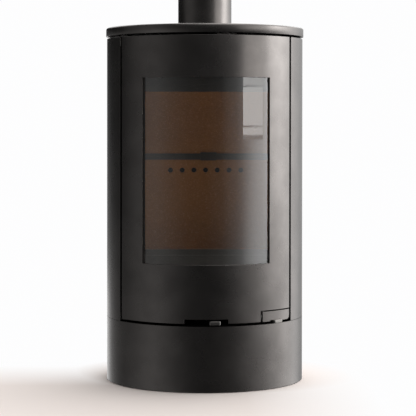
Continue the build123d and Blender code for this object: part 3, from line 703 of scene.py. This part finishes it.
def make_side_panels():
    """Side panels, each with its front edge folded inward."""
    for side, name in ((-1, "left_side_panel"), (1, "right_side_panel")):
        angles = sorted((side * SHELL_EDGE_ANGLE, side * (REAR_SEAM_ANGLE - SEAM_ANGLE)))
        bm = curved_sheet((SHELL_R, BODY_R), angles, (panel_low.z, panel_high.z))
        finish_piece(name + "_sheet", bm, "casing", [name])
        make_panel_fold(name + "_fold", side)


def make_rear_panel():
    """Rear panel with a row of upright air slots near its foot and another near its head."""
    half = 180 - REAR_SEAM_ANGLE - SEAM_ANGLE
    slot_half = math.degrees(SLOT_WIDTH / 2 / BODY_R)
    holes = []
    for step in range(-6, 7):
        middle = 180 + step * SLOT_STEP
        holes += [(middle - slot_half, middle + slot_half, low, low + SLOT_HEIGHT) for low in SLOT_LOWS]
    bm = curved_sheet((SHELL_R, BODY_R), (180 - half, 180 + half), (panel_low.z, panel_high.z), holes)
    finish_piece("rear_panel_sheet", bm, "casing", ["rear_panel"])


def make_top_plate():
    """Round plate, hollow underneath, with a collar round the pipe's hole and a rounded rim."""
    low, high = top_low.z, top_high.z
    pocket = low + TOP_POCKET_DEPTH
    collar_r = TOP_HOLE_R + TOP_COLLAR
    small, large = TOP_ROUND
    outline = [(TOP_HOLE_R, high), (TOP_HOLE_R, low), (collar_r, low), (collar_r, pocket),
               (TOP_POCKET_R, pocket), (TOP_POCKET_R, low)]
    outline += rounded((TOP_R - small, low + small), small, -90, 0, 2)
    outline += rounded((TOP_R - large, high - large), large, 0, 90, 8)
    finish_piece("top_plate_disc", lathe(outline, 256), "casing", ["top_plate"], edge=0)


def make_top_pocket_shade():
    """Dark ring against the underside of the top plate's pocket: painted shade for the black gap under the
    plate's rim.
    """
    high = top_low.z + TOP_POCKET_DEPTH
    low = high - TOP_SHADE_RING
    inner = TOP_HOLE_R + TOP_COLLAR + TOP_SHADE_RING_GAP
    outer = TOP_POCKET_R - TOP_SHADE_RING_GAP
    outline = [(inner, low), (outer, low), (outer, high), (inner, high)]
    finish_piece("top_plate_pocket_shade", lathe(outline, 96), "casing", [], edge=0, slot="rope_seal")


def make_flue_pipe():
    """Open thin-walled tube."""
    inner = PIPE_R - PIPE_WALL
    outline = [(inner, pipe_low.z), (PIPE_R, pipe_low.z), (PIPE_R, pipe_high.z), (inner, pipe_high.z)]
    finish_piece("flue_pipe_tube", lathe(outline, 128), "casing", ["flue_pipe"], edge=SMALL_EDGE)


# ---------------------------------------------------------------- door

def make_door_skin():
    """Curved front sheet with the window, the air lever's notch and the handle flap's corner cut out."""
    holes = [
        (-WINDOW_ANGLE, WINDOW_ANGLE, *WINDOW_Z),
        (-NOTCH_ANGLE, NOTCH_ANGLE, 0.0, NOTCH_TOP),
        (HANDLE_CUT_ANGLE, 90.0, 0.0, HANDLE_CUT_TOP),
    ]
    angles = (-DOOR_EDGE_ANGLE, DOOR_EDGE_ANGLE)
    bm = curved_sheet((SHELL_R, BODY_R), angles, (door_low.z, door_high.z), holes)
    finish_piece("door_skin_sheet", bm, "door", ["door_skin"])


def make_door_glass():
    """Curved pane that reaches behind the skin on all sides."""
    bm = curved_sheet(GLASS_R, (-GLASS_ANGLE, GLASS_ANGLE), (glass_low.z, glass_high.z))
    finish_piece("door_glass_pane", bm, "door", ["door_glass"], edge=SMALL_EDGE)


def make_glass_edge_shade_strips():
    """Black strips down the two sides of the glass, between it and the door skin: painted shade for the dark
    gaps at the window's side edges.
    """
    left = (-GLASS_ANGLE, -SHADE_STRIP_ANGLES[0])
    right = (SHADE_STRIP_ANGLES[1], GLASS_ANGLE)
    for name, angles in (("glass_edge_shade_left", left), ("glass_edge_shade_right", right)):
        bm = curved_sheet((GLASS_R[1], GLASS_R[1] + SHADE_STRIP_THICKNESS), angles, (glass_low.z, glass_high.z))
        finish_piece(name, bm, "door", [], edge=0, slot="rope_seal")


def make_handle_flap():
    """The flap's curved face, rounded at its free lower corner and notched over the tongue."""
    end = FLAP_ANGLES[1]

    def corner_rise(angle):
        along = math.radians(angle - end) * BODY_R + FLAP_CORNER_R
        if along <= 0:
            return 0.0
        return FLAP_CORNER_R - math.sqrt(max(0.0, FLAP_CORNER_R ** 2 - along ** 2))

    width, height = TONGUE_NOTCH
    half = math.degrees(width / 2 / BODY_R)
    holes = [(HANDLE_TONGUE_ANGLE - half, HANDLE_TONGUE_ANGLE + half, 0.0, door_low.z + height)]
    z_span = (door_low.z, FLAP_TOP)
    bm = curved_sheet((SHELL_R, BODY_R), FLAP_ANGLES, z_span, holes, step=0.25, drop=corner_rise)
    finish_piece("handle_flap_face", bm, "handle", ["handle_flap"], edge=SMALL_EDGE)


def make_handle_hub():
    """Two bearing eyes on the handle's pivot, behind the flap."""
    pivot = plan(HANDLE_R, HANDLE_ANGLE)
    outline = rounded((pivot.x, pivot.y), HUB_R, 0, 350, 35)
    for low, high in HUB_Z:
        bm = bmesh.new()
        lower = [bm.verts.new((x, y, low)) for x, y in outline]
        upper = [bm.verts.new((x, y, high)) for x, y in outline]
        bm.faces.new(lower)
        bm.faces.new(upper)
        for k in range(len(outline)):
            after = (k + 1) % len(outline)
            bm.faces.new([lower[k], lower[after], upper[after], upper[k]])
        name = f"handle_hub_{round(low * 1000)}"
        finish_piece(name, bm, "handle", [], edge=SMALL_EDGE, slot="stove_paint")


def seal_path():
    """Middle of the seal's rope, as close-set (x, z) points round a loop with rounded corners."""
    x = seal_high.x - SEAL_INSET
    low = seal_low.z + SEAL_INSET
    high = seal_high.z - SEAL_INSET
    turn_r = SEAL_CORNER_R
    corners = [((x - turn_r, low + turn_r), -90), ((x - turn_r, high - turn_r), 0),
               ((-x + turn_r, high - turn_r), 90), ((-x + turn_r, low + turn_r), 180)]
    path = []
    for centre, start in corners:
        path += rounded(centre, turn_r, start, start + 90, 10)
    path.append(path[0])
    points = []
    for (x0, z0), (x1, z1) in zip(path, path[1:]):
        count = max(1, round(math.hypot(x1 - x0, z1 - z0) / SEAL_STEP))
        points += [(x0 + (x1 - x0) * k / count, z0 + (z1 - z0) * k / count) for k in range(count)]
    return points


def braid_ring(across, radius, phase):
    """Offsets round the rope's section, swollen where two sets of crossing strands run."""
    offsets = []
    for s in range(SEAL_SIDES):
        turn = 2 * math.pi * s / SEAL_SIDES
        braid = max(abs(math.sin(2 * turn + phase)), abs(math.sin(2 * turn - phase)))
        r = radius * (0.86 + 0.14 * braid)
        offsets.append(across * (r * 1.25 * math.cos(turn)) + Vector((0, 1, 0)) * (r * math.sin(turn)))
    return offsets


def make_seal():
    """Braided rope loop behind the door frame."""
    radius = (seal_high.y - seal_low.y) / 2
    y = (seal_high.y + seal_low.y) / 2
    points = seal_path()
    turns = round(len(points) * SEAL_STEP / SEAL_PITCH)
    bm = bmesh.new()
    rings = []
    for k, (x, z) in enumerate(points):
        ahead = points[(k + 1) % len(points)]
        behind = points[k - 1]
        along = Vector((ahead[0] - behind[0], 0, ahead[1] - behind[1])).normalized()
        across = Vector((along.z, 0, -along.x))
        phase = 2 * math.pi * turns * k / len(points)
        middle = Vector((x, y, z))
        rings.append([bm.verts.new(middle + offset) for offset in braid_ring(across, radius, phase)])
    for here, there in zip(rings, rings[1:] + rings[:1]):
        for s in range(SEAL_SIDES):
            t = (s + 1) % SEAL_SIDES
            bm.faces.new([here[s], here[t], there[t], there[s]])
    finish_piece("door_seal_rope", bm, "door", ["door_seal"], edge=0)


make_camera()
make_world()
make_window()
make_floor()
make_plinth()
make_side_panels()
make_rear_panel()
make_top_plate()
make_top_pocket_shade()
make_flue_pipe()
make_door_skin()
make_door_glass()
make_glass_edge_shade_strips()
make_handle_flap()
make_handle_hub()
make_seal()
dress_cad_nodes()
